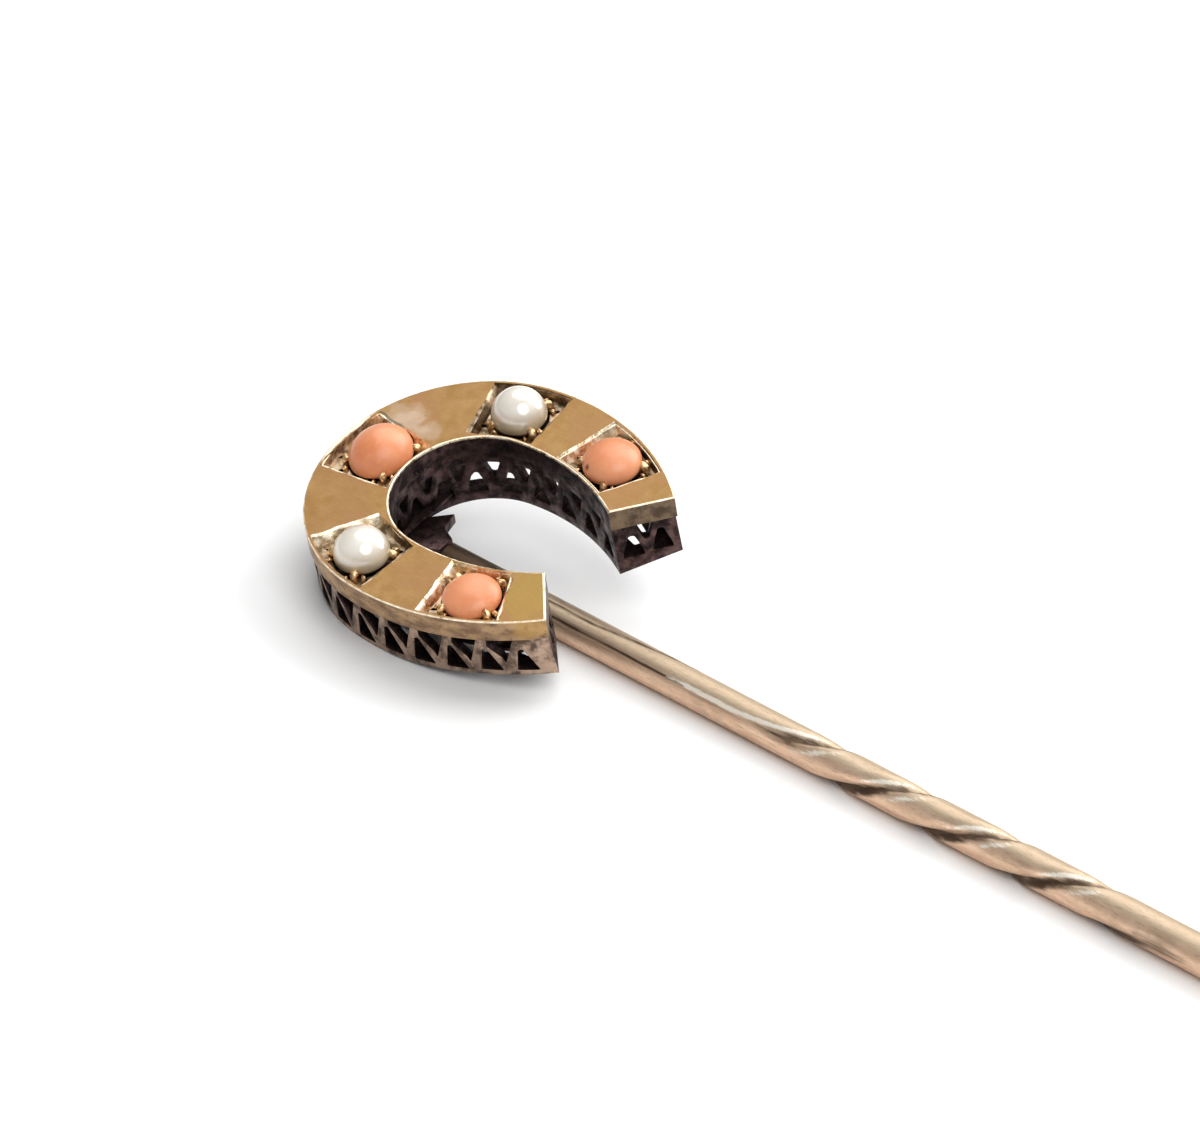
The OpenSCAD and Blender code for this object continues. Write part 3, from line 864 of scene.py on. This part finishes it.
def heel_holes(bm):
    """Two upright holes and a hanging one in each heel's wall."""
    mid = (HEEL_IN + HEEL_OUT) / 2 - HEEL_NORMAL * (GALLERY_INSET + WALL / 2)
    step = (HEEL_OUT - HEEL_IN).length / 4 - 0.06
    for side in (1, -1):
        for k in (-1, 0, 1):
            at = mid + HEEL_DIR * step * k
            turn = Matrix.Rotation(math.radians(side * HEEL_NORMAL_A), 4, "Z")
            place = Matrix.Translation((at.x, side * at.y, 0)) @ turn
            foot = HEEL_FOOT_IN if k < 0 else HEEL_FOOT_OUT
            hole(bm, upright(foot) if k else hanging(), place)


# How far each heel leans out, and where the lean starts and is full
LEAN_NEAR, LEAN_FAR = 0.2, 0.08
LEAN_START, LEAN_LENGTH = 3.2, 1.6


def set_foot(obj, reach_z):
    """Shape the gallery's back edge: low along the inner wall, raised at the outer wall's ends, and leaning
    out at the heels, a little at the far one and more at the near one."""
    for v in obj.data.vertices:
        if v.co.z > reach_z:
            continue
        inward, outward = max(from_inner(v.co), 0), max(from_outer(v.co), 0)
        share = inward / (inward + outward)
        drop = INNER_DROP if share < 0.5 else 0
        if from_heel(v.co) < GALLERY_INSET + STRIP_W + 0.01 and v.co.x > 3:
            drop = INNER_DROP * (1 - share)
        v.co.z += rise(v.co.x) * share - drop
        reach = clamp((v.co.x - LEAN_START) / LEAN_LENGTH)
        v.co.x += (LEAN_NEAR if v.co.y < 0 else LEAN_FAR) * reach


def gallery():
    """Pierced strip under the plate."""
    outside, inside = GALLERY_INSET, GALLERY_INSET + WALL
    middle = GALLERY_INSET + WALL / 2
    shell = object_of(head_solid(outside, 0, outside, GALLERY_H + 0.01), "gallery", [DARK, RUBBED])
    carve(shell, object_of(head_solid(inside, -0.5, inside, GALLERY_H + 0.5), "hollow"))
    set_foot(shell, 1e-4)
    bm = bmesh.new()
    outer = (TOE_OUT_C, TOE_OUT_R - middle, TOE_OUT_SWEEP, ARM_OUT_C, ARM_OUT_R - middle)
    inner = (TOE_IN_C, TOE_IN_R + middle, TOE_IN_SWEEP, ARM_IN_C, ARM_IN_R + middle)
    wall_holes(bm, *outer, OUTER_HOLES, True)
    wall_holes(bm, *inner, INNER_HOLES, False)
    heel_holes(bm)
    carve(shell, object_of(bm, "holes"))
    for polygon in shell.data.polygons:
        polygon.material_index = 1 if from_outer(polygon.center) < GALLERY_INSET + 0.02 else 0
    soften(shell, 0.025)
    return finish_piece(shell, HEAD)


def foot_strips():
    """Flat strip folded in along the gallery's foot, with a slot left down its middle."""
    low = GALLERY_INSET + 0.04
    strip = object_of(head_solid(low, 0, low, STRIP_T), "foot_strips", [DARK])
    slot = GALLERY_INSET + STRIP_W
    carve(strip, object_of(head_solid(slot, -0.5, slot, STRIP_T + 0.5), "slot"))
    set_foot(strip, 1)
    soften(strip, 0.02)
    return finish_piece(strip, HEAD)


def solder_plate():
    """Thin tongue under the toe that spreads into two points beside the stem, and the pad that it is on."""
    bm = bmesh.new()
    outline = TONGUE + [(x, -y) for x, y in reversed(TONGUE)]
    plate_of(bm, [(x, y + JOINT.y) for x, y in outline], -TONGUE_T, 0.01)
    plate_of(bm, PAD + [(x, -y) for x, y in reversed(PAD)], PAD_LOW, PAD_HIGH)
    tongue = object_of(bm, "solder_plate", [DARK])
    soften(tongue, 0.04)
    return finish_piece(tongue, HEAD)


# Stem

# A groove's centre stands at the angle TWIST_MARK_A at the distance TWIST_MARK along the wire. The twist
# eases in and out over the two stretches.
TWIST_MARK, TWIST_MARK_A = 17.77, 49.1
TWIST_RATE = 360 / 6.22
TWIST_IN = (14.6, 17.6)
TWIST_OUT = (26.5, 29.4)
# Depth of a groove and of the faint crease that leads to it, as shares of the radius
GROOVE = 0.38
CREASE = 0.05
# Where the grooves deepen, where they are shallow again and the crease's end: place and length
DEEPEN, SHALLOW, CREASE_END = (14.4, 3.0), (28.4, 2.6), (38, 6)
# Width of a groove's steep and long side, in degrees
STEEP_A, LONG_A = 26, 58


def grown(x, start, length):
    """Share that has come in at x, from 0 at start to 1."""
    return clamp((x - start) / length)


def faded(x, end, length):
    """Share that is left at x, down to 0 at end."""
    return clamp((end - x) / length)


def ridge(angle, centre, width, height=1.0):
    """Ridge over an angle, height at its centre and falling by 1 over its width."""
    return height - abs(angle - centre) / width


def eased(x, low, high):
    """Length of full-rate twist gained by x on an ease from low to high."""
    if x <= low:
        return 0.0
    if x >= high:
        return (high - low) / 2 + x - high
    t = (x - low) / (high - low)
    return (high - low) * (t**3 - t**4 / 2)


def twist_turn(x):
    """Angle of one groove's centre at distance x along the wire."""
    gained = eased(x, *TWIST_IN) - eased(x, *TWIST_OUT)
    mark = eased(TWIST_MARK, *TWIST_IN)
    return TWIST_MARK_A - TWIST_RATE * (gained - mark)


def groove_depth(x):
    """Depth of the grooves as a share of the radius: a faint crease that deepens in the twist."""
    t = min(grown(x, *DEEPEN), faded(x, *SHALLOW))
    return CREASE * faded(x, *CREASE_END) + (GROOVE - CREASE) * soft_step(t)


def groove_share(away, depth):
    """Share of the groove's depth at an angle from its centre: steep on one side, long on the other, and
    narrow where it is only a crease."""
    width = 0.2 + 0.8 * clamp((depth - CREASE) / 0.1)
    t = max(ridge(away, 0, width * (STEEP_A if away > 0 else LONG_A)), 0)
    return soft_step(t) if away > 0 else t**1.7


# The wire's round end under the head: where it starts, where it is full, and its depth
WIRE_START, WIRE_FULL, WIRE_ROUND = 0.9, 1.25, 0.36
TAPER_START = HEAD_STRETCH + SHANK_L
# Share of the taper's length that is a cone, before the point is rounded off
CONE = 0.995
WIRE_UNEVEN = 0.006


def wire_radius(x):
    """Radius along the wire: rounded start, plain, then tapered to the point."""
    if x < WIRE_FULL:
        return STEM_R * math.sqrt(max(1 - ((WIRE_FULL - x) / WIRE_ROUND) ** 2, 0.02))
    if x > TAPER_START:
        t = (x - TAPER_START) / POINT_L
        return POINT_R + (STEM_R - POINT_R) * (1 - t) if t < CONE else POINT_R * 0.6
    return STEM_R


# Stretches of painted marks along the wire, as place and length: the darkening under the head ends, the
# crease's painted dark reflection ends, a painted dark reflection on the top turns aside and ends, the
# painted highlight starts, the grooves' own painted reflections and highlights come in, and all of it ends
# at the plain shank
UNDER_HEAD_END = (6.4, 2.0)
DARK_LINE_END = (11.8, 1.0)
TOP_STREAK_TURN, TOP_STREAK_END = 8.5, 12
BRIGHT_START = (11, 1.5)
GROOVE_MARKS = (14, 2)
MARKS_END = (31, 3)


def stem_marks(x, angle, away):
    """Dark marks and painted highlights at a place on the wire. The wire is darker under the head. The
    crease has a painted dark reflection near the head and a painted highlight on one side further on. In
    the twist each groove has a painted dark reflection between a painted highlight on one edge and a
    fainter one. The shank is plain."""
    twisted = grown(x, *GROOVE_MARKS)
    # Painted dark reflection along the crease near the head, which moves beside each groove in the twist;
    # the wire is also darker under the head.
    line = ridge(away, 9 * twisted, 8 + 25 * twisted, 1.1) - grown(x, *DARK_LINE_END) * (1 - twisted)
    dark = max(faded(x, *UNDER_HEAD_END), line)
    # Painted dark reflection along the top of the wire, which turns aside and ends.
    if x < TOP_STREAK_END:
        aside = 13 * max(x - TOP_STREAK_TURN, 0)
        dark = max(dark, ridge(angle, 105 - aside, 17, 0.8))
    # Painted highlights: a bright line beside the crease and beside each groove on the wire's upper side,
    # and a fainter one further round.
    upper = max(ridge(angle, 114, 55), 0) ** 0.6
    bright = ridge(away, -4 - 20 * twisted, 10, 1.2) * (1 - twisted + twisted * upper)
    bright *= grown(x, *BRIGHT_START)
    faint = ridge(away, 48, 26, 0.75) * max(ridge(angle, 140, 60), 0) * twisted
    plain = faded(x, *MARKS_END)
    return max(dark * plain, 0), max(bright * plain, faint * plain, 0)


def steps_of(start, step, count):
    return [start + step * i for i in range(count)]


def stem():
    """Wire drawn ring by ring, closely in the twist, then grooved."""
    stations = [WIRE_START, 0.93, 1.0, 1.1, WIRE_FULL]
    stations += steps_of(1.6, 0.4, 30) + steps_of(13.4, 0.08, 200) + steps_of(29.4, 0.5, 40)
    stations += [TAPER_START + POINT_L * t for t in steps_of(0.0, 0.15, 7) + [0.97, CONE, 1.0]]
    bm = bmesh.new()
    ring = bmesh.ops.create_circle(bm, segments=80, radius=1.0)["verts"]
    turn = Matrix.Rotation(math.radians(90), 4, "Y")
    bmesh.ops.transform(bm, matrix=Matrix.Translation((stations[0], 0, 0)) @ turn, verts=ring)
    edges = list(bm.edges)
    first = list(edges)
    for before, after in zip(stations, stations[1:]):
        made = bmesh.ops.extrude_edge_only(bm, edges=edges)["geom"]
        ring = [v for v in made if isinstance(v, bmesh.types.BMVert)]
        bmesh.ops.translate(bm, vec=(after - before, 0, 0), verts=ring)
        edges = [e for e in made if isinstance(e, bmesh.types.BMEdge)]
    for loop in (first, edges):
        bmesh.ops.contextual_create(bm, geom=loop)
    # Marks kept on the vertices: dark ones, painted dark reflections apart from the darker stretch under
    # the head, and streaks, which are painted highlights.
    dark_marks = bm.verts.layers.float.new("dark_marks")
    streak = bm.verts.layers.float.new("streak")
    for v in bm.verts:
        x = v.co.x
        angle = math.degrees(math.atan2(v.co.z, v.co.y))
        away = (angle - twist_turn(x) + 90) % 180 - 90
        depth = groove_depth(x)
        share = groove_share(away, depth)
        radius = wire_radius(x) * (1 - depth * share)
        radius += WIRE_UNEVEN * noise.noise(Vector((x * 0.8, v.co.y * 0.9, v.co.z * 0.9)))
        v.co.y, v.co.z = polar(min(radius, STEM_R), angle).xy
        v[dark_marks], v[streak] = stem_marks(x, angle, away)
    wire = object_of(bm, "stem", [WIRE])
    return finish_piece(wire, STEM, 60)


# Stones

# How much a pearl and a coral depart from round
PEARL_UNEVEN, CORAL_UNEVEN = 0.012, 0.025


def stone(name, pits=()):
    """A stone on its seat, domed above its girdle and below it. Each pit is x, y, height over the front
    and radius."""
    setting = next(s for s in SETTINGS if s[0] == name)
    bm = bmesh.new()
    bmesh.ops.create_uvsphere(bm, u_segments=72, v_segments=44, radius=1.0)
    floor_z = HEAD_H - SEAT_T + STONE_GAP
    pearl = name.startswith("pearl")
    radial, along, dome, drop = setting[6]
    girdle = HEAD_H - drop
    shift = Vector((len(name) * 3.3, setting[2], setting[1]))
    for v in bm.verts:
        uneven = PEARL_UNEVEN if pearl else CORAL_UNEVEN
        wobble = min(1 + uneven * noise.noise(v.co * 1.4 + shift), 1)
        up = dome if v.co.z > 0 else girdle - floor_z
        v.co = Vector((v.co.x * radial, v.co.y * along, v.co.z * up)) * wobble + Vector((0, 0, girdle))
    bmesh.ops.transform(bm, matrix=at_setting(setting), verts=bm.verts)
    if pearl:
        finish = pearl_stone(point_on_head(setting[1], setting[2], girdle + dome))
    else:
        finish = coral_stone([(point_on_head(x, y, HEAD_H + z), radius) for x, y, z, radius in pits])
    made = object_of(bm, name + "_stone", [finish])
    finish_piece(made, HEAD, 180)
    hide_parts(name)
    return made


metal = [front_plate(), grains(), gallery(), foot_strips(), solder_plate(), stem()]
for piece in metal:
    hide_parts("horseshoe_and_stem")
stone("coral_toe")
stone("pearl_far")
stone("pearl_near")
stone("coral_far", [(1.92, 2.62, 0.12, 0.14), (1.63, 2.7, 0.1, 0.1)])
stone("coral_near", [(2.31, -2.97, 0.36, 0.07)])


# Table, light and camera


def table():
    bm = bmesh.new()
    bmesh.ops.create_grid(bm, x_segments=1, y_segments=1, size=1.2)
    bmesh.ops.translate(bm, vec=(0, 0, cad_box[0][2]), verts=bm.verts)
    top = object_of(bm, "table")
    f = Finish("white table", Roughness=0.6)
    paleness = f.cloud(0.05, 2.0)
    f.feed("Base Color", f.blend(f.fade(paleness, 0.3, 0.7), srgb(248, 248, 248), srgb(252, 252, 252)))
    top.data.materials.append(f.material)


# Point near the head that all lights aim at, in metres
AIM = Vector((-0.02, 0, 0))


def softbox(name, place, size, power):
    light = bpy.data.lights.new(name, "AREA")
    light.shape, light.size, light.energy = "DISK", size, power
    lamp = bpy.data.objects.new(name, light)
    lamp.location = place
    lamp.rotation_euler = (AIM - Vector(place)).to_track_quat("-Z", "Y").to_euler()
    scene.collection.objects.link(lamp)


# Grey of the room: height as a share, and brightness
SKY = ((0.45, 0.25), (0.75, 0.62))
SKY_STRENGTH = 0.65


def sky():
    """Grey room round the softboxes, darker low down."""
    world = bpy.data.worlds.new("room")
    scene.world = world
    world.use_nodes = True
    nodes, links = world.node_tree.nodes, world.node_tree.links
    ramp = nodes.new("ShaderNodeValToRGB")
    for element, (height, grey) in zip(ramp.color_ramp.elements, SKY):
        element.position = height
        element.color = (grey, grey, grey, 1)
    split = nodes.new("ShaderNodeSeparateXYZ")
    half = nodes.new("ShaderNodeMath")
    half.operation = "MULTIPLY_ADD"
    half.inputs[1].default_value = half.inputs[2].default_value = 0.5
    links.new(nodes.new("ShaderNodeTexCoord").outputs["Generated"], split.inputs[0])
    links.new(split.outputs["Z"], half.inputs[0])
    links.new(half.outputs[0], ramp.inputs["Fac"])
    links.new(ramp.outputs["Color"], nodes["Background"].inputs["Color"])
    nodes["Background"].inputs["Strength"].default_value = SKY_STRENGTH


# The camera as fitted to the photo, in the head's frame with z = 0 at the front: the picture's right,
# down and forward directions, and the head's place before the camera along each of them, in millimetres
VIEW_RIGHT = Vector((0.7708, 0.6248, -0.1247))
VIEW_DOWN = Vector((0.3615, -0.5900, -0.7219))
VIEW_AHEAD = Vector((-0.5247, 0.5113, -0.6806))
HEAD_IN_VIEW = Vector((-3.427, -2.188, 148.17))


def camera():
    lens = bpy.data.cameras.new("camera")
    lens.sensor_width, lens.lens, lens.sensor_fit = 36, 150, "HORIZONTAL"
    lens.clip_start, lens.clip_end = 0.01, 5
    eye = -(VIEW_RIGHT * HEAD_IN_VIEW.x + VIEW_DOWN * HEAD_IN_VIEW.y + VIEW_AHEAD * HEAD_IN_VIEW.z)
    turn = Matrix((VIEW_RIGHT, -VIEW_DOWN, -VIEW_AHEAD)).transposed().to_4x4()
    stand = HEAD @ Matrix.Translation(eye + Vector((0, 0, HEAD_H))) @ turn
    seen = bpy.data.objects.new("camera", lens)
    seen.matrix_world = Matrix.LocRotScale(stand.to_translation(), stand.to_quaternion(), (1, 1, 1))
    scene.collection.objects.link(seen)
    scene.camera = seen


table()
sky()
camera()
softbox("key", (0.115, -0.085, 0.21), 0.2, 0.3)
softbox("top", (-0.12, 0.16, 0.36), 0.45, 0.9)
softbox("back", (0.1, 0.32, 0.22), 0.35, 1.1)
scene.view_settings.view_transform = "Standard"
